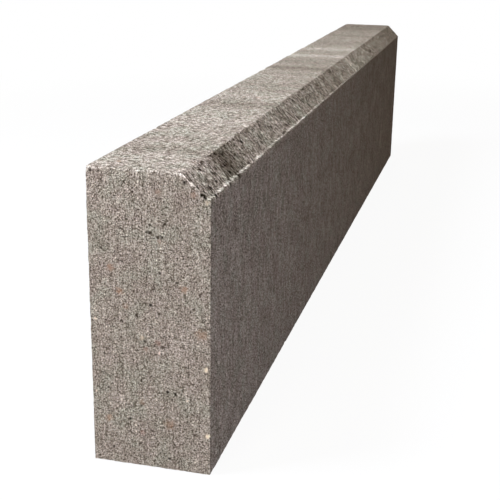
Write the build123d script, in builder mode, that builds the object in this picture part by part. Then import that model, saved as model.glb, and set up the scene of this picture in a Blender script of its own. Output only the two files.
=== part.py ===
"""A concrete kerb stone, pressed in one piece and standing on its bedding face. Millimetres.

Length runs along X, thickness along Y and height along Z. The front, with the splayed top edge that faces the road,
is at -Y and the back at +Y. The origin is in the middle of the bedding face.
"""

import os
from math import radians, tan

from build123d import *

# The block
KERB_LENGTH = 1000.0
KERB_THICKNESS = 80.0
KERB_HEIGHT = 200.0

# The splay along the front top edge, which the tamper head presses into the fresh concrete
SPLAY_DROP = 15.0  # from the top down to the ledge
SPLAY_ANGLE = 45.0  # between the slope and the vertical
CROWN_RADIUS = 3.0  # eases the top into the slope
LEDGE_WIDTH = 3.0  # flat at the slope's foot, left by the blunt rim of the tamper head
LEDGE_ROOT_RADIUS = 1.0  # in the corner between slope and ledge

# Every square edge of the block
ARRIS_RADIUS = 1.0

os.makedirs("parts", exist_ok=True)

front = -KERB_THICKNESS / 2
back = KERB_THICKNESS / 2
ledge_height = KERB_HEIGHT - SPLAY_DROP
slope_foot = front + LEDGE_WIDTH
slope_head = slope_foot + SPLAY_DROP * tan(radians(SPLAY_ANGLE))

# The ledge has to hold an arris and a root side by side, so neither takes more than half of it.
root_radius = min(LEDGE_ROOT_RADIUS, LEDGE_WIDTH / 2)
arris_radius = min(ARRIS_RADIUS, LEDGE_WIDTH / 2)

with BuildPart() as kerb_stone:
    # The section, seen from the +X end: Y to the right and Z up
    with BuildSketch(Plane.YZ) as section:
        with BuildLine():
            Polyline(
                (front, 0),
                (back, 0),
                (back, KERB_HEIGHT),
                (slope_head, KERB_HEIGHT),
                (slope_foot, ledge_height),
                (front, ledge_height),
                close=True,
            )
        make_face()
        crown = section.vertices().sort_by_distance((slope_head, KERB_HEIGHT))[0]
        fillet(crown, CROWN_RADIUS)
        root = section.vertices().sort_by_distance((slope_foot, ledge_height))[0]
        fillet(root, root_radius)
    extrude(amount=KERB_LENGTH / 2, both=True)

    # The arrises run all round both ends, and along the two square edges of the front and of the back.
    end_edges = kerb_stone.faces().filter_by(Axis.X).edges()
    long_edges = kerb_stone.edges().filter_by(Axis.X).group_by(Axis.Y)
    fillet(end_edges + long_edges[0] + long_edges[-1], arris_radius)

kerb_stone.part.label = "kerb_stone"
export_step(kerb_stone.part, "parts/kerb_stone.step")
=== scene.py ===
from math import exp, hypot, radians, tan

import bmesh
import bpy
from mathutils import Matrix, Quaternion, Vector, geometry, noise


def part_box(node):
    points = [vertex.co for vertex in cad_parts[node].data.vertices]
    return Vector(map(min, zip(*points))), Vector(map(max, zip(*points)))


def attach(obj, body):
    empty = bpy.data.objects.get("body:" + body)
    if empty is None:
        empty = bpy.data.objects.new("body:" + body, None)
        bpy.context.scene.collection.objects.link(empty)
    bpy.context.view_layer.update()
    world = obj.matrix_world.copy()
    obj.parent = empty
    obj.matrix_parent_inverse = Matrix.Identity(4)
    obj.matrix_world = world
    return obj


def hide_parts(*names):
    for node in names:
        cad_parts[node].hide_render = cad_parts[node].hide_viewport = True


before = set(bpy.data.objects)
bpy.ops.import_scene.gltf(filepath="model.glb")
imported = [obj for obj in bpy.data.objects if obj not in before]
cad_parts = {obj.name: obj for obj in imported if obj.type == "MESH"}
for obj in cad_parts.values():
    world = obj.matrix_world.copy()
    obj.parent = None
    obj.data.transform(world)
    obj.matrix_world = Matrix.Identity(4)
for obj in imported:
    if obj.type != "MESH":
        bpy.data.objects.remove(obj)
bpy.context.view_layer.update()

# Kerb stone: the block
# One block of dry-cast concrete. Earth-moist sand, grit and cement are vibrated in a steel mould while a
# tamper head presses the top and the splay from above, and the mould is then drawn straight up off the
# green block. The block is worked in mm.
MM = 0.001
SPLAY_DROP = 15.0
LEDGE_WIDTH = 3.0
CROWN_RADIUS = 3.0
CROWN_TURN = 45.0
CROWN_FACETS = 3

low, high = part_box("kerb_stone")
length, thickness, height = (high - low) / MM
end = length / 2
front, back = -thickness / 2, thickness / 2
ledge_height = height - SPLAY_DROP
slope_foot = front + LEDGE_WIDTH
# The slope lies at 45 degrees, so it is as wide as it drops.
slope_head = slope_foot + SPLAY_DROP

block = bmesh.new()
section = [
    (front, 0),
    (back, 0),
    (back, height),
    (slope_head, height),
    (slope_foot, ledge_height),
    (front, ledge_height),
]
corners = [block.verts.new((-end, y, z)) for y, z in section]
block.faces.new(corners)
bmesh.ops.bevel(
    block,
    geom=[corners[section.index((slope_head, height))]],
    offset=CROWN_RADIUS * tan(radians(CROWN_TURN / 2)),
    offset_type="OFFSET",
    affect="VERTICES",
    segments=CROWN_FACETS,
    profile=0.5,
    material=-1,
)

# The grid that carries the relief is finest round the splay and towards the near end, where its steps along
# the block are halved and halved again. A point counts as on a face within ON_FACE of it, and as at a place
# of the grid within SLACK of that place.
FINE_FROM = 180.0
FINE_TO = -15.0
FINE, MIDDLE, COARSE = 1.25, 2.5, 5.0
HALVED_FROM = (-200.0, -450.0)
FAR_PIECES = 4
ON_FACE, SLACK = 0.01, 0.1


def steps(first, last, step):
    """The places between two ends that divide the way into equal steps."""
    return [first + step * i for i in range(1, round((last - first) / step) + 1)]


def cut_across(axis, places):
    """Cuts the section along lines square to an axis."""
    normal = Vector()
    normal[axis] = 1
    for place in places:
        bmesh.ops.bisect_plane(
            block,
            geom=block.verts[:] + block.edges[:] + block.faces[:],
            dist=ON_FACE,
            plane_co=normal * place,
            plane_no=normal,
        )


def cut_along(first, last, pieces):
    """Cuts every edge that runs along the block between two places into equal pieces."""
    inside = [
        edge
        for edge in block.edges
        if abs(edge.verts[0].co.x - edge.verts[1].co.x) > SLACK
        and all(first - SLACK < vert.co.x < last + SLACK for vert in edge.verts)
    ]
    bmesh.ops.subdivide_edges(block, edges=inside, cuts=pieces - 1)


cut_across(1, steps(front, FINE_TO, FINE) + steps(FINE_TO, back - MIDDLE, MIDDLE))
cut_across(2, steps(0, FINE_FROM, MIDDLE) + steps(FINE_FROM, height - FINE, FINE))

far_end = bmesh.ops.extrude_face_region(block, geom=block.faces[:])["geom"]
bmesh.ops.translate(
    block, vec=(length, 0, 0), verts=[part for part in far_end if isinstance(part, bmesh.types.BMVert)]
)
bmesh.ops.recalc_face_normals(block, faces=block.faces[:])
cut_along(-end, end, round(length / COARSE))
cut_along(end - COARSE, end, FAR_PIECES)
for place in (*HALVED_FROM, COARSE - end):
    cut_along(-end, place, 2)
for vert in block.verts:
    vert.co.x = round(vert.co.x, 3)
block.normal_update()

# The square edges, or arrises, of the section. The ledge's root is hollow, so it isn't one.
arrises = [(front, 0), (back, 0), (back, height), (front, ledge_height)]
sides = [(Vector(section[i - 1]), Vector(section[i])) for i in range(len(section))]


def side_gap(spot, side):
    """The way from a point of the section to the nearest point of one of its sides."""
    first, last = side
    share = geometry.intersect_point_line(spot, first, last)[1]
    return first.lerp(last, min(max(share, 0), 1)) - spot


def to_arris(place):
    """How far a point of the block's surface lies from the nearest square edge, in mm."""
    if end - abs(place.x) > ON_FACE:
        return min(end - abs(place.x), *(hypot(place.y - y, place.z - z) for y, z in arrises))
    return min(side_gap(Vector((place.y, place.z)), side).length for side in sides)


# Blow holes, which are air that the vibration didn't drive out, start as faces that a hash of their place
# picks. The hash reads the flat grid, before the relief moves it, so that each run picks the same ones. A
# hole's taper and depth are shares of its width.
HOLE_SHARE = 0.012
HOLE_WIDTHS = (0.9, 1.3, 1.9)
HOLE_TAPER, HOLE_DEPTH = 1 / 6, 1 / 2
HOLE_JITTER = 0.15
HOLE_FREE_RIM = 2.5
CELL_SHIFT = Vector((0.3, 0.3, 0.3))

holes = [[] for width in HOLE_WIDTHS]
for face in block.faces:
    spans = [edge.calc_length() for edge in face.edges]
    square = len(spans) == 4 and MIDDLE - SLACK < min(spans) and max(spans) < MIDDLE + SLACK
    draw = abs(noise.cell((face.calc_center_median() + CELL_SHIFT) / MIDDLE))
    if draw < HOLE_SHARE and square and all(to_arris(vert.co) > HOLE_FREE_RIM for vert in face.verts):
        holes[int(draw / HOLE_SHARE * len(holes))].append(face)

# Relief of the skin, all of it cut into the block so that it stays within its mould
SKIN, LEAST_SKIN = 0.15, 0.02
PRESSED_SHARE = 0.5
WAVE_SIZE, WAVE_DEPTH = 45.0, 0.1
GRIT_SIZE, GRIT_DEPTH = 6.0, 0.1
STREAK_WIDTH, STREAK_LENGTH, STREAK_DEPTH = 8.0, 60.0, 0.1


def skin_depth(place, pressed):
    """How far the skin lies inside the mould's face, in mm."""
    along = STREAK_LENGTH if pressed else STREAK_WIDTH
    drag = Vector((place.x / STREAK_WIDTH, place.y / along, place.z / STREAK_LENGTH))
    uneven = WAVE_DEPTH * noise.noise(place / WAVE_SIZE)
    uneven += GRIT_DEPTH * noise.noise(place / GRIT_SIZE) + STREAK_DEPTH * noise.noise(drag)
    return max(SKIN + uneven * (PRESSED_SHARE if pressed else 1), LEAST_SKIN)


# Notches under the crown: how far below the top they lie, and where along the block they fade out. A slice
# is the place in a noise where a pattern is read, so that patterns differ.
NOTCH_HEAD, NOTCH_FOOT = 0.3, 4.0
NOTCH_SIZE, NOTCH_START, NOTCH_DEPTH, NOTCH_SLICE = 3.0, 0.15, 3.0, 9
NOTCH_ENDS, NOTCH_FADE = 300.0, 200.0


def notch_depth(place):
    """How deep the notches are that grains left just under the crown when they tore out, in mm."""
    under = height - place.z
    if not NOTCH_HEAD < under < NOTCH_FOOT or place.y > slope_head:
        return 0
    share = min(max((NOTCH_ENDS - place.x) / NOTCH_FADE, 0), 1)
    deep = max(0, noise.noise((place.x / NOTCH_SIZE, under / NOTCH_SIZE, NOTCH_SLICE)) - NOTCH_START)
    return NOTCH_DEPTH * deep * share


# Grains torn out beside the ledge at the near end: place and radius of the hollow
TORN = [
    ((-499.5, -34.2, 188), 1.7),
    ((-498.5, -36, 186), 1.9),
    ((-486, -39.3, 184.6), 2.4),
    ((-454.5, -39.8, 184.4), 2.4),
    ((-432.5, -39.2, 184.8), 3.2),
]
TORN_STEEPNESS, TORN_DEPTH = 2, 0.4


def torn_share(place):
    """How fully a point lies in the hollow of a torn-out grain, from 0 at its rim to 1 in its middle."""
    inward = max(0, *(1 - (place - Vector(middle)).length / radius for middle, radius in TORN))
    return min(TORN_STEEPNESS * inward, 1)


# The tamper head sat a little askew in the mould, so the ledge narrows towards the far end. The shift fades
# out below the ledge.
ASKEW, ASKEW_FADE = 2.8, 20.0


def splay_shift(place):
    """How far the splay lies nearer the front at this place than it should, in mm."""
    if place.z < ledge_height - ASKEW_FADE:
        return 0
    by_height = min(1, (place.z - ledge_height + ASKEW_FADE) / ASKEW_FADE)
    by_width = min((place.y - front) / LEDGE_WIDTH, 1, (back - place.y) / (back - slope_head))
    return ASKEW * (place.x + end) / length * by_height * by_width


# The ledge's painted highlight runs out before the middle of the block. The tamping weakens along the same
# stretch, and the lumps on the back top arris begin.
LEDGE_ENDS, LEDGE_FADE = -20.0, 200.0


def near_share(x):
    """One along the near part, falling to nothing where the ledge's painted highlight runs out."""
    return min(max((LEDGE_ENDS - x) / LEDGE_FADE, 0), 1)


# Wear of the arrises: how deep each is cut back across its corner, and how unevenly. Handling has rounded
# the near end's top most, at the crown and at the back corner. A cut at an end lies at 45 degrees to both
# faces, so a step along one of them sinks below it by SLANT.
WEAR = 0.1
TOP_WEAR = 0.2
CROWN_WEAR, CROWN_REACH = 1.0, 8.0
BELOW_CROWN = 1.5
CORNER_WEAR, CORNER_REACH = 1.2, 3.0
CRUMB_SIZE, CRUMB_DEPTH = 3.0, 0.3
CHIP_SIZE, CHIP_START, CHIP_DEPTH = 14.0, 0.6, 6.0
CHIP_REACH = 8.0
LUMP_SIZE, LUMP_SHARE, LUMP_HEIGHT, LUMP_SLICE = 16.0, 0.4, 0.8, 3
SCALLOP_SIZE, SCALLOP_DEPTH, SCALLOP_SLICE = 5.0, 2.6, 7
LEDGE_WEAR, LEDGE_LEAN = 0.5, 1.8
SLANT = 0.5**0.5


def arris_wear(place):
    """How deep any arris is cut back across its corner at this place, in mm."""
    crumb = CRUMB_DEPTH * noise.noise(place / CRUMB_SIZE)
    chip = CHIP_DEPTH * max(0, noise.noise(place / CHIP_SIZE) - CHIP_START)
    return max(0, WEAR + crumb) + chip


def end_wear(place):
    """How much deeper the near end is cut back: along the top, at the crown and at the back corner."""
    if place.x > 0:
        return 0
    on_top = TOP_WEAR if place.z > ledge_height else 0
    to_crown = hypot(place.y - slope_head + BELOW_CROWN, place.z - height + BELOW_CROWN)
    to_corner = hypot(place.y - back, place.z - height)
    knocked = CORNER_WEAR * exp(-((to_corner / CORNER_REACH) ** 2))
    return on_top + knocked + CROWN_WEAR * exp(-((to_crown / CROWN_REACH) ** 2))


def long_wear(place, y, z):
    """How much deeper a long arris is cut back: between the back top one's lumps, or along the ledge."""
    if (y, z) == (back, height):
        between = max(0, LUMP_SHARE - noise.noise((place.x / LUMP_SIZE, LUMP_SLICE, 0)))
        return LUMP_HEIGHT * between * (1 - near_share(place.x))
    if (y, z) == (front, ledge_height):
        return LEDGE_WEAR + SCALLOP_DEPTH * max(0, noise.noise((place.x / SCALLOP_SIZE, SCALLOP_SLICE, 0)))
    return 0


def cuts(vert):
    """Each cut across an arris that reaches this vertex: its outward direction and its depth here."""
    place = vert.co
    wear = arris_wear(place)
    for y, z in arrises:
        if hypot(place.y - y, place.z - z) < CHIP_REACH:
            lean = LEDGE_LEAN if z == ledge_height else 1
            outward = Vector((0, lean if y > 0 else -lean, 1 if z > 0 else -1)).normalized()
            inside = outward.dot(Vector((place.x, y, z)) - place)
            yield outward, wear + long_wear(place, y, z) - inside
    flat = Vector((vert.normal.y, vert.normal.z))
    inside = 0
    if end - abs(place.x) < ON_FACE and to_arris(place) > ON_FACE:
        spot = Vector((place.y, place.z))
        flat = min((side_gap(spot, side) for side in sides), key=lambda gap: gap.length)
        inside = flat.length
    if end - abs(place.x) + inside < CHIP_REACH and flat.length > 0:
        flat.normalize()
        outward = Vector((1 if place.x > 0 else -1, flat.x, flat.y)).normalized()
        yield outward, wear + end_wear(place) - (end - abs(place.x) + inside) * SLANT


# Pale and dark bands across the pressed faces, where the tamper head met more or less paste: their place
# along the block, half width, and tone on the top and on the splay. Every tone is a share of the brightness.
BANDS = [
    (-470, 10, 0.12, 0.02),
    (-440, 13, -0.21, 0.0),
    (-431, 17, 0.0, -0.66),
    (-408, 12, -0.07, -0.2),
    (-335, 35, 0.13, 0.0),
    (-285, 12, 0.1, 0.15),
    (-256, 13, -0.28, -0.25),
    (-210, 18, 0.13, 0.05),
    (-140, 12, -0.1, -0.08),
    (-105, 10, 0.0, -0.12),
    (-82, 9, 0.15, 0.0),
    (-66, 10, -0.1, -0.3),
    (-20, 12, -0.38, -0.35),
    (35, 22, -0.15, 0.08),
    (90, 13, 0.47, 0.85),
    (161, 15, 0.38, 0.33),
    (197, 14, 0.0, 0.18),
    (235, 14, -0.1, -0.05),
    (262, 14, 0.0, 0.16),
    (327, 20, -0.18, 0.1),
    (455, 60, -0.32, -0.2),
]
# Painted highlights along the ledge's rim: place, half width and tone
LEDGE_HIGHLIGHTS = [(-491, 6, 0.4), (-470, 8, 0.45), (-415, 5, 0.6), (-380, 7, 0.3), (-245, 35, 0.35)]
# Between them both are uneven, in patches and short flecks: how long those are in mm, and how strong
PATCH_LENGTH, FLECK_LENGTH, BAND_FLECK_SLICE = 14.0, 5.0, 5
BAND_PATCHY, BAND_FLECKED = 0.12, 0.1
LEDGE_PALE, LEDGE_EVEN, LEDGE_PATCHY, LEDGE_FLECKED = 0.25, 0.3, 1.5, 2.5


def ledge_tone(x):
    """How much paler or darker the ledge is painted at this place along the block: its painted highlight."""
    ledge_highlights = sum(pale * exp(-(((x - place) / half) ** 2)) for place, half, pale in LEDGE_HIGHLIGHTS)
    patches = LEDGE_PATCHY * noise.noise((x / PATCH_LENGTH, 0, 0))
    flecks = LEDGE_FLECKED * noise.noise((x / FLECK_LENGTH, 0, 0))
    return ledge_highlights + LEDGE_PALE * (LEDGE_EVEN + patches + flecks)


def band_tone(x, on_splay):
    """How much paler or darker a pressed face is at this place along the block."""
    bands = sum(
        (splay if on_splay else top) * exp(-(((x - place) / half) ** 2))
        for place, half, top, splay in BANDS
    )
    patches = BAND_PATCHY * noise.noise((x / PATCH_LENGTH, 0, 0))
    flecks = BAND_FLECKED * noise.noise((x / FLECK_LENGTH, BAND_FLECK_SLICE, 0))
    return bands + patches + flecks


# Each vertex moves into the relief and is told what the concrete has to know of its place: how strongly it
# was tamped, whether it is on the splay, how much paler or darker it is, painted light and shade included,
# and whether it is in a hole.
TAMP_FADE = 0.4
SPLAY_FROM = 0.5
LEDGE_RIM = 0.5
LEDGE_DULL = -0.25
FOOT_PAINTED_LIGHT = 0.22
WORN_RIM_HIGHLIGHT = 0.9
TORN_SHADE = -0.95
NOTCH_SHADE = -0.5
tamped = block.verts.layers.float.new("tamped")
sloped = block.verts.layers.float.new("sloped")
tone = block.verts.layers.float.new("tone")
hollow = block.verts.layers.float.new("hollow")

moved = []
for vert in block.verts:
    place = vert.co.copy()
    above_ledge = place.z > ledge_height - SLACK
    on_top = above_ledge and (place.y < slope_head + SLACK or place.z > height - SLACK)
    pressed = on_top and end - abs(place.x) > ON_FACE
    on_splay = place.z < height - SPLAY_FROM
    vert[tamped] = 1 - TAMP_FADE * (1 - near_share(place.x)) if pressed else 0.0
    vert[sloped] = 1.0 if pressed and on_splay else 0.0
    # Along the near part the ledge gets a painted highlight, and beyond it the ledge is painted duller.
    if pressed and place.z < ledge_height + SLACK:
        between_edges = front + SLACK < place.y < slope_foot - SLACK
        share = near_share(place.x) * (1.0 if between_edges else LEDGE_RIM)
        vert[tone] = ledge_tone(place.x) * share + LEDGE_DULL * (1 - share)
    elif pressed:
        vert[tone] = band_tone(place.x, on_splay)
    elif place.y < front + SLACK:
        # The front face is painted paler towards its foot and darker towards the ledge: painted light thrown
        # back by the floor, and painted shade under the ledge.
        vert[tone] = FOOT_PAINTED_LIGHT * (0.5 - place.z / ledge_height)
    notch = notch_depth(place)
    torn = torn_share(place)
    # Torn hollows and notches are painted darker: painted shade in them.
    vert[tone] += TORN_SHADE * torn + NOTCH_SHADE * min(notch, 1) - vert[tone] * torn
    target = place - vert.normal * (skin_depth(place, on_top) + notch + TORN_DEPTH * torn)
    # On the near half the worn arrises above the ledge are painted paler the deeper they are cut back: a
    # painted highlight on the worn rim.
    near_rim_lit = place.z > ledge_height + SLACK and place.x < 0
    for outward, cut in cuts(vert):
        if cut > 0:
            target -= outward * cut
            vert[tone] += WORN_RIM_HIGHLIGHT * min(cut, 1) if near_rim_lit else 0
    target.y -= splay_shift(place)
    moved.append((vert, target))
for vert, target in moved:
    vert.co = target
block.normal_update()

# The holes are sunk, and a vector noise makes their floors crooked. The seed sets where that noise is read.
noise.seed_set(11)
for mouths, width in zip(holes, HOLE_WIDTHS):
    bmesh.ops.inset_individual(block, faces=mouths, thickness=(MIDDLE - width) / 2, depth=0)
    bmesh.ops.inset_individual(block, faces=mouths, thickness=width * HOLE_TAPER, depth=-width * HOLE_DEPTH)
    for vert in {vert for face in mouths for vert in face.verts}:
        vert[hollow] = 1.0
        vert.co += HOLE_JITTER * noise.noise_vector(vert.co)

SHARP_FROM = 50.0
bmesh.ops.scale(block, vec=(MM, MM, MM), verts=block.verts)
kerb_mesh = bpy.data.meshes.new("kerb_stone_skin")
block.to_mesh(kerb_mesh)
block.free()
kerb_mesh.shade_smooth()
kerb_mesh.set_sharp_from_angle(angle=radians(SHARP_FROM))
kerb = bpy.data.objects.new("kerb_stone_skin", kerb_mesh)
bpy.context.collection.objects.link(kerb)

# Kerb stone: the concrete
# Dry-cast concrete with an open, sandy skin: every sand grain shows, pale or dark, in a warm grey paste,
# with a few larger stones in buff, rust and cream. It scatters light evenly and has no shine.


def linear(code):
    """An sRGB hex colour as linear red, green, blue and alpha."""
    parts = [int(code[i : i + 2], 16) / 255 for i in (1, 3, 5)]
    return (*(p / 12.92 if p <= 0.04045 else ((p + 0.055) / 1.055) ** 2.4 for p in parts), 1.0)


def add(tree, kind, links=None, stops=None, **settings):
    """Adds a node with its settings, its sockets set or linked, and the stops of a colour ramp."""
    made = tree.nodes.new(kind)
    for name, value in settings.items():
        setattr(made, name, value)
    for socket, value in (links or {}).items():
        if isinstance(value, bpy.types.NodeSocket):
            tree.links.new(value, made.inputs[socket])
        else:
            made.inputs[socket].default_value = value
    for number, (place, code) in enumerate(stops or []):
        elements = made.color_ramp.elements
        stop = elements[number] if number < len(elements) else elements.new(place)
        stop.position = place
        stop.color = linear(code)
    return made


concrete = bpy.data.materials.new("dry_cast_concrete")
concrete.use_nodes = True
nodes = concrete.node_tree
nodes.nodes.clear()
here = add(nodes, "ShaderNodeTexCoord").outputs["Object"]
in_mm = add(nodes, "ShaderNodeVectorMath", {0: here, "Scale": 1 / MM}, operation="SCALE").outputs[0]
is_tamped = add(nodes, "ShaderNodeAttribute", attribute_name="tamped").outputs["Fac"]
has_tone = add(nodes, "ShaderNodeAttribute", attribute_name="tone").outputs["Fac"]
is_sloped = add(nodes, "ShaderNodeAttribute", attribute_name="sloped").outputs["Fac"]
is_hollow = add(nodes, "ShaderNodeAttribute", attribute_name="hollow").outputs["Fac"]

# Sand: each cell is one grain with a tone of its own
SAND_SIZE = 0.52
sand = add(nodes, "ShaderNodeTexVoronoi", {"Vector": in_mm, "Scale": 1 / SAND_SIZE})
sand_random = add(nodes, "ShaderNodeSeparateColor", {0: sand.outputs["Color"]})
sand_colour = add(
    nodes,
    "ShaderNodeValToRGB",
    {0: sand_random.outputs["Red"]},
    stops=[
        (0.0, "#271c11"),
        (0.15, "#4f4439"),
        (0.4, "#93897e"),
        (0.65, "#b3aa9f"),
        (0.88, "#cec6bb"),
        (1.0, "#f4ede1"),
    ],
)

# Grit, stones and voids lie in some cells of coarser patterns. The size of each is a random share of the
# growth less the start, in parts of the spacing, and a cell where that is below nothing stays empty.
GRIT_SPACING, GRIT_GROWTH, GRIT_START = 2.6, 0.9, 0.5
GRIT_RIM, GRIT_COVER = 0.08, 0.45
STONE_SPACING, STONE_GROWTH, STONE_START = 12.0, 0.3, 0.12
STONE_RIM, STONE_COVER = 0.04, 0.55
VOID_SPACING, VOID_GROWTH, VOID_START = 3.2, 0.6, 0.35
VOID_RIM, VOID_COVER = 0.08, 1.0


def scattered(spacing, growth, start, rim, cover):
    """A random value for each cell of a pattern, and how fully the grain in the cell covers a point."""
    cells = add(nodes, "ShaderNodeTexVoronoi", {"Vector": in_mm, "Scale": 1 / spacing})
    random = add(nodes, "ShaderNodeSeparateColor", {0: cells.outputs["Color"]})
    size = {0: random.outputs["Red"], 1: growth, 2: -start}
    radius = add(nodes, "ShaderNodeMath", size, operation="MULTIPLY_ADD").outputs[0]
    inside = add(nodes, "ShaderNodeMath", {0: radius, 1: cells.outputs["Distance"]}, operation="SUBTRACT")
    mask = add(nodes, "ShaderNodeMapRange", {"Value": inside.outputs[0], 1: 0.0, 2: rim, 3: 0.0, 4: cover})
    return random.outputs["Green"], mask.outputs[0]


grit_random, grit_mask = scattered(GRIT_SPACING, GRIT_GROWTH, GRIT_START, GRIT_RIM, GRIT_COVER)
grit_colour = add(
    nodes,
    "ShaderNodeValToRGB",
    {0: grit_random},
    stops=[(0.0, "#63594f"), (0.35, "#92887e"), (0.6, "#b2a89d"), (0.85, "#c4baae"), (1.0, "#ece3d7")],
)
with_grit = add(
    nodes,
    "ShaderNodeMix",
    {0: grit_mask, 6: sand_colour.outputs[0], 7: grit_colour.outputs[0]},
    data_type="RGBA",
)
stone_random, stone_mask = scattered(STONE_SPACING, STONE_GROWTH, STONE_START, STONE_RIM, STONE_COVER)
stone_colour = add(
    nodes,
    "ShaderNodeValToRGB",
    {0: stone_random},
    stops=[(0.0, "#957d68"), (0.25, "#b08d72"), (0.5, "#9a9692"), (0.75, "#a88d82"), (1.0, "#e6d8ba")],
)
with_stones = add(
    nodes,
    "ShaderNodeMix",
    {0: stone_mask, 6: with_grit.outputs[2], 7: stone_colour.outputs[0]},
    data_type="RGBA",
)
void_mask = scattered(VOID_SPACING, VOID_GROWTH, VOID_START, VOID_RIM, VOID_COVER)[1]

# The stones and pits that catch the eye on the near end face, kind by kind: colour, how fully it covers the
# sand, radius, and places across and up the face in mm. The pits are painted near black: painted shade. The
# grains torn out beside the ledge left pits too, and these get the same painted shade over their hollows.
PIT_SHADE, PIT_SHADE_COVER = "#1c150e", 0.95
SEEN_STONES_AND_PITS = [
    ("#fff0d8", 0.95, 1.8, [(-37.2, 74.2), (-38.4, 28.0)]),
    ("#f6e6d8", 0.9, 1.0, [(-6.1, 82.0), (-24.7, 51.1), (37.3, 50.2), (36.6, 100.8)]),
    ("#ecd8c2", 0.65, 1.6, [(-37.6, 183.0), (5.2, 91.2)]),
    ("#a07a60", 0.5, 3.8, [(-12.4, 32.8), (-34.1, 97.8)]),
    ("#a9836a", 0.6, 2.5, [(-22.8, 126.4), (19.5, 121.4), (25.5, 136.5), (29.0, 31.7)]),
    ("#a0806c", 0.45, 2.2, [(15.6, 111.0), (-29.3, 187.2), (-7.2, 187.4), (6.0, 45.9)]),
    ("#a37d70", 0.45, 2.0, [(2.7, 83.5), (-5.5, 89.0), (-7.4, 156.0), (6.0, 24.2)]),
    (PIT_SHADE, PIT_SHADE_COVER, 1.2, [(-11.6, 55.6), (-16.6, 55.0), (14.2, 33.0), (-12.4, 7.7), (-0.9, 113.9)]),
    (PIT_SHADE, PIT_SHADE_COVER, 1.0, [(30.9, 77.6), (3.4, 89.1), (-7.2, 135.3), (17.6, 141.0), (-23.2, 194.5)]),
    ("#2b2216", 0.85, 1.2, [(36.6, 197.8), (0.5, 161.8), (-10.7, 167.7), (-18.4, 130.5)]),
]
TORN_PIT_SHADE = 0.85
spots = [
    (code, cover, radius, (-end, y, z))
    for code, cover, radius, places in SEEN_STONES_AND_PITS
    for y, z in places
]
spots += [(PIT_SHADE, PIT_SHADE_COVER, TORN_PIT_SHADE * radius, middle) for middle, radius in TORN]

# A noise makes their outlines ragged. It adds about one radius to the way from a spot's middle, and the spot
# is whole up to SPOT_WHOLE and gone from SPOT_GONE, in radii.
RAGGED_SIZE, RAGGED_SHARE = 1.5, 2
SPOT_WHOLE, SPOT_GONE = 1.4, 2.2
ragged = add(nodes, "ShaderNodeTexNoise", {"Vector": in_mm, "Scale": 1 / RAGGED_SIZE})
stained = with_stones.outputs[2]
for code, cover, radius, middle in spots:
    away = add(nodes, "ShaderNodeVectorMath", {0: in_mm, 1: middle}, operation="DISTANCE")
    uneven = add(
        nodes,
        "ShaderNodeMath",
        {0: ragged.outputs["Fac"], 1: RAGGED_SHARE * radius, 2: away.outputs["Value"]},
        operation="MULTIPLY_ADD",
    )
    mask = add(
        nodes,
        "ShaderNodeMapRange",
        {"Value": uneven.outputs[0], 1: radius * SPOT_WHOLE, 2: radius * SPOT_GONE, 3: cover, 4: 0.0},
    )
    stained = add(
        nodes, "ShaderNodeMix", {0: mask.outputs[0], 6: stained, 7: linear(code)}, data_type="RGBA"
    ).outputs[2]

# Hue: pinkish and greenish clouds of sand
HUE_SIZE = 14.0
hue = add(nodes, "ShaderNodeTexNoise", {"Vector": in_mm, "Scale": 1 / HUE_SIZE, "Detail": 2.0})
hue_colour = add(
    nodes,
    "ShaderNodeValToRGB",
    {0: hue.outputs["Fac"]},
    stops=[(0.35, "#fafef8"), (0.5, "#fffdf9"), (0.65, "#fffaf8")],
)
hued = add(
    nodes,
    "ShaderNodeMix",
    {0: 1.0, 6: stained, 7: hue_colour.outputs[0]},
    data_type="RGBA",
    blend_type="MULTIPLY",
)

# Tone: clouds of damper and drier mix, weaker on the pressed faces. A noise varies about NOISE_MIDDLE.
CLOUD_SIZE = 35.0
CLOUD_STRENGTH, CLOUD_LOSS = 0.4, 0.2
NOISE_MIDDLE = 0.5
cloud = add(nodes, "ShaderNodeTexNoise", {"Vector": in_mm, "Scale": 1 / CLOUD_SIZE, "Detail": 3.0})
cloud_middle = add(nodes, "ShaderNodeMath", {0: cloud.outputs["Fac"], 1: NOISE_MIDDLE}, operation="SUBTRACT")
cloud_strength = add(
    nodes, "ShaderNodeMath", {0: is_tamped, 1: -CLOUD_LOSS, 2: CLOUD_STRENGTH}, operation="MULTIPLY_ADD"
)
cloud_tone = add(
    nodes,
    "ShaderNodeMath",
    {0: cloud_middle.outputs[0], 1: cloud_strength.outputs[0], 2: 1.0},
    operation="MULTIPLY_ADD",
)

# Marks that the grains left as they were dragged: up and down the moulded faces, across the top and down
# the splay. A grain's own mark is too fine to show, so they are drawn coarser. Each kind has a gap in mm
# and, for each axis, how close the marks lie along it. They are stronger on the top and most on the splay.
DRAG_GAP, UP_AND_DOWN = 1.2, (0.3, 1.0, 0.06)
PRESS_GAP, ACROSS = 1.7, (0.8, 0.5, 0.5)
SLIDE_GAP, DOWN_SLOPE = 1.5, (1.0, 0.38, 0.38)
TOP_STRENGTH, SPLAY_STRENGTH = 2.9, 2.8


def marks(gap, closeness, detail):
    """A noise that is drawn out along the axes where the marks lie less close."""
    drawn = add(nodes, "ShaderNodeVectorMath", {0: in_mm, 1: closeness}, operation="MULTIPLY").outputs[0]
    marked = add(nodes, "ShaderNodeTexNoise", {"Vector": drawn, "Scale": 1 / gap, "Detail": detail})
    return marked.outputs["Fac"]


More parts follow.
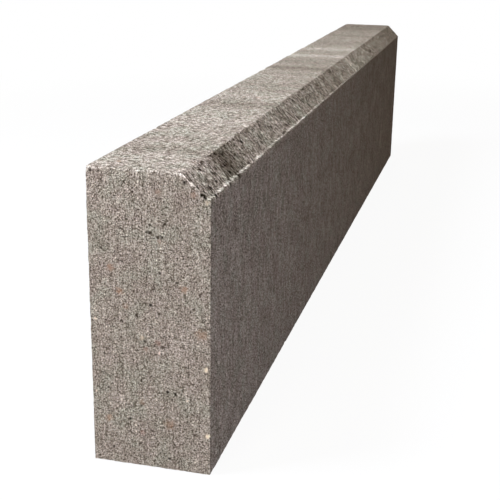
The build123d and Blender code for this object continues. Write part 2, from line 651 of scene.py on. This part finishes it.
drag = marks(DRAG_GAP, UP_AND_DOWN, 1.0)
press = marks(PRESS_GAP, ACROSS, 3.0)
slide = marks(SLIDE_GAP, DOWN_SLOPE, 3.0)
moulded_or_pressed = add(nodes, "ShaderNodeMix", {0: is_tamped, 2: drag, 3: press}, data_type="FLOAT")
drag_kind = add(
    nodes, "ShaderNodeMix", {0: is_sloped, 2: moulded_or_pressed.outputs[0], 3: slide}, data_type="FLOAT"
)
top_strength = add(
    nodes, "ShaderNodeMath", {0: is_tamped, 1: TOP_STRENGTH, 2: 1.0}, operation="MULTIPLY_ADD"
)
drag_strength = add(
    nodes,
    "ShaderNodeMath",
    {0: is_sloped, 1: SPLAY_STRENGTH, 2: top_strength.outputs[0]},
    operation="MULTIPLY_ADD",
)
drag_middle = add(nodes, "ShaderNodeMath", {0: drag_kind.outputs[0], 1: NOISE_MIDDLE}, operation="SUBTRACT")
drag_tone = add(
    nodes,
    "ShaderNodeMath",
    {0: drag_middle.outputs[0], 1: drag_strength.outputs[0], 2: 1.0},
    operation="MULTIPLY_ADD",
)

# Bands come with the mesh, and with them a painted highlight on the near end's worn arrises and along the
# ledge, painted light and shade on the front face, and painted shade in torn hollows and notches. Holes and
# voids are
# painted dark: painted shade in their hollows. Darker places are a little warmer, as light takes on the
# sand's colour each time it is scattered in a pore.
HOLLOW_PAINTED_SHADE = 0.7
VOID_PAINTED_SHADE = 0.7
WARMTH = 0.07
tones_with_painted_light = add(nodes, "ShaderNodeMath", {0: has_tone, 1: 1.0}, operation="ADD")
hollow_shade = add(nodes, "ShaderNodeMath", {0: is_hollow, 1: -HOLLOW_PAINTED_SHADE, 2: 1.0}, operation="MULTIPLY_ADD")
void_shade = add(nodes, "ShaderNodeMath", {0: void_mask, 1: -VOID_PAINTED_SHADE, 2: 1.0}, operation="MULTIPLY_ADD")
all_tones = cloud_tone.outputs[0]
for factor in (drag_tone, tones_with_painted_light, hollow_shade, void_shade):
    all_tones = add(
        nodes, "ShaderNodeMath", {0: all_tones, 1: factor.outputs[0]}, operation="MULTIPLY"
    ).outputs[0]
red_tone = add(nodes, "ShaderNodeMath", {0: all_tones, 1: 1 - WARMTH}, operation="POWER")
blue_tone = add(nodes, "ShaderNodeMath", {0: all_tones, 1: 1 + WARMTH}, operation="POWER")
warm_tones = add(
    nodes, "ShaderNodeCombineXYZ", {0: red_tone.outputs[0], 1: all_tones, 2: blue_tone.outputs[0]}
)
toned = add(
    nodes, "ShaderNodeVectorMath", {0: hued.outputs[2], 1: warm_tones.outputs[0]}, operation="MULTIPLY"
)

# Relief: grains standing out of the paste, drag marks and voids, in mm. The paste's own texture is too fine
# to show, so it is drawn coarser, at about the size of a grain.
PASTE_SIZE = 0.7
GRAIN_RISE, PASTE_RISE, DRAG_RISE, VOID_DROP = 0.3, 0.3, 0.3, 0.5
paste = add(nodes, "ShaderNodeTexNoise", {"Vector": in_mm, "Scale": 1 / PASTE_SIZE, "Detail": 2.0})
grains = {0: sand_random.outputs["Green"], 1: GRAIN_RISE}
relief = add(nodes, "ShaderNodeMath", grains, operation="MULTIPLY").outputs[0]
for pattern, rise in (
    (paste.outputs["Fac"], PASTE_RISE),
    (drag_kind.outputs[0], DRAG_RISE),
    (void_mask, -VOID_DROP),
):
    relief = add(
        nodes, "ShaderNodeMath", {0: pattern, 1: rise, 2: relief}, operation="MULTIPLY_ADD"
    ).outputs[0]
bump = add(nodes, "ShaderNodeBump", {"Height": relief, "Strength": 1.0, "Distance": MM})
shader = add(
    nodes,
    "ShaderNodeBsdfPrincipled",
    {
        "Base Color": toned.outputs[0],
        "Normal": bump.outputs[0],
        "Roughness": 0.95,
        "IOR": 1.5,
        "Specular IOR Level": 0.02,
    },
)
add(nodes, "ShaderNodeOutputMaterial", {"Surface": shader.outputs[0]})
kerb_mesh.materials.append(concrete)

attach(kerb, "root")
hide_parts("kerb_stone")

# Floor
# A plain white studio floor. The eye sees it white, and the kerb's soft shadow shows on it faintly, fading
# out where the floor runs away from the kerb. On the kerb it throws back a dull, warm light.
FLOOR_HALF = 12.0
SHADOW_SHARE = 0.08
SHADOW_REACH = (1.6, 1.2, 1.0)
SHADOW_WHOLE = 0.5
floor_shape = bmesh.new()
bmesh.ops.create_grid(floor_shape, x_segments=1, y_segments=1, size=FLOOR_HALF)
floor_mesh = bpy.data.meshes.new("floor")
floor_shape.to_mesh(floor_mesh)
floor_shape.free()
floor = bpy.data.objects.new("floor", floor_mesh)
bpy.context.collection.objects.link(floor)


def seen_by_eye(tree):
    """One for what the eye sees, straight on, in a mirror or through glass, and nothing for other light."""
    ray = add(tree, "ShaderNodeLightPath")
    seen = ray.outputs["Is Camera Ray"]
    for kind in ("Is Glossy Ray", "Is Transmission Ray"):
        seen = add(tree, "ShaderNodeMath", {0: seen, 1: ray.outputs[kind]}, operation="MAXIMUM").outputs[0]
    return seen


paper = bpy.data.materials.new("white_paper_floor")
paper.use_nodes = True
nodes = paper.node_tree
nodes.nodes.clear()
here = add(nodes, "ShaderNodeTexCoord").outputs["Object"]
reach = add(nodes, "ShaderNodeVectorMath", {0: here, 1: SHADOW_REACH}, operation="DIVIDE")
near = add(nodes, "ShaderNodeTexGradient", {0: reach.outputs[0]}, gradient_type="SPHERICAL")
shadow = add(
    nodes,
    "ShaderNodeMapRange",
    {"Value": near.outputs["Fac"], 1: 0.0, 2: SHADOW_WHOLE, 3: 0.0, 4: SHADOW_SHARE},
    interpolation_type="SMOOTHSTEP",
)
matt = add(nodes, "ShaderNodeBsdfDiffuse", {"Color": linear("#6b6157")})
white = add(nodes, "ShaderNodeBsdfDiffuse", {"Color": linear("#f4f4f4")})
glow = add(nodes, "ShaderNodeEmission", {"Color": linear("#ffffff"), "Strength": 1.0})
shown = add(nodes, "ShaderNodeMixShader", {0: shadow.outputs[0], 1: glow.outputs[0], 2: white.outputs[0]})
both = add(nodes, "ShaderNodeMixShader", {0: seen_by_eye(nodes), 1: matt.outputs[0], 2: shown.outputs[0]})
add(nodes, "ShaderNodeOutputMaterial", {"Surface": both.outputs[0]})
floor_mesh.materials.append(paper)

# World
# An even, dim, warm surround for the shaded sides. The eye and mirrors see it white.
world = bpy.data.worlds.new("studio")
bpy.context.scene.world = world
world.use_nodes = True
nodes = world.node_tree
nodes.nodes.clear()
dim = add(nodes, "ShaderNodeBackground", {"Color": linear("#ffb670"), "Strength": 0.07})
bright = add(nodes, "ShaderNodeBackground", {"Color": linear("#ffffff"), "Strength": 1.0})
both = add(nodes, "ShaderNodeMixShader", {0: seen_by_eye(nodes), 1: dim.outputs[0], 2: bright.outputs[0]})
add(nodes, "ShaderNodeOutputWorld", {"Surface": both.outputs[0]})

# Lamps
# Five soft boxes: the key, high behind the near end; a long one overhead; one before the near end; a weak
# one in front of the shaded side; and one beyond the far end.


def soft_box(name, place, target, size, power, code):
    """An area lamp of that size in metres, in watts, turned to a target."""
    light = bpy.data.lights.new(name, "AREA")
    light.shape = "RECTANGLE"
    light.size, light.size_y = size
    light.energy = power
    light.color = linear(code)[:3]
    lamp = bpy.data.objects.new(name, light)
    lamp.location = place
    lamp.rotation_euler = (Vector(target) - Vector(place)).to_track_quat("-Z", "Y").to_euler()
    bpy.context.collection.objects.link(lamp)


soft_box("key", (-0.85, 1.05, 1.6), (-0.15, 0, 0.15), (0.7, 0.7), 47.5, "#e5edff")
soft_box("overhead", (0.1, -0.2, 2.4), (0, 0, 0.15), (1.6, 0.5), 23, "#fffff4")
soft_box("end_light", (-2.2, 0.4, 0.8), (-0.5, 0, 0.1), (0.6, 0.6), 15.5, "#fffdf5")
soft_box("fill", (-1.1, -0.75, 0.4), (-0.4, 0, 0.1), (0.5, 0.5), 5, "#e2e9ff")
soft_box("far_light", (2.2, 0.4, 0.2), (0.5, 0, 0.1), (0.6, 0.3), 12, "#ffffff")

# Camera
# Fitted to the block's corners in the photograph: it stands low in front of the near end and looks along
# the kerb.
CAMERA_PLACE = Vector((-1.04959, -0.20156, 0.33993))
CAMERA_TARGET = Vector((-0.1267, 0.02908, 0.03157))
CAMERA_ROLL = 0.964
LENS, SENSOR = 71.96, 36.0
view = bpy.data.cameras.new("camera")
view.lens = LENS
view.sensor_width = SENSOR
camera = bpy.data.objects.new("camera", view)
camera.location = CAMERA_PLACE
aim = (CAMERA_TARGET - CAMERA_PLACE).to_track_quat("-Z", "Y")
camera.rotation_euler = (aim @ Quaternion((0, 0, 1), radians(CAMERA_ROLL))).to_euler()
bpy.context.collection.objects.link(camera)
bpy.context.scene.camera = camera
bpy.context.scene.view_settings.view_transform = "Standard"
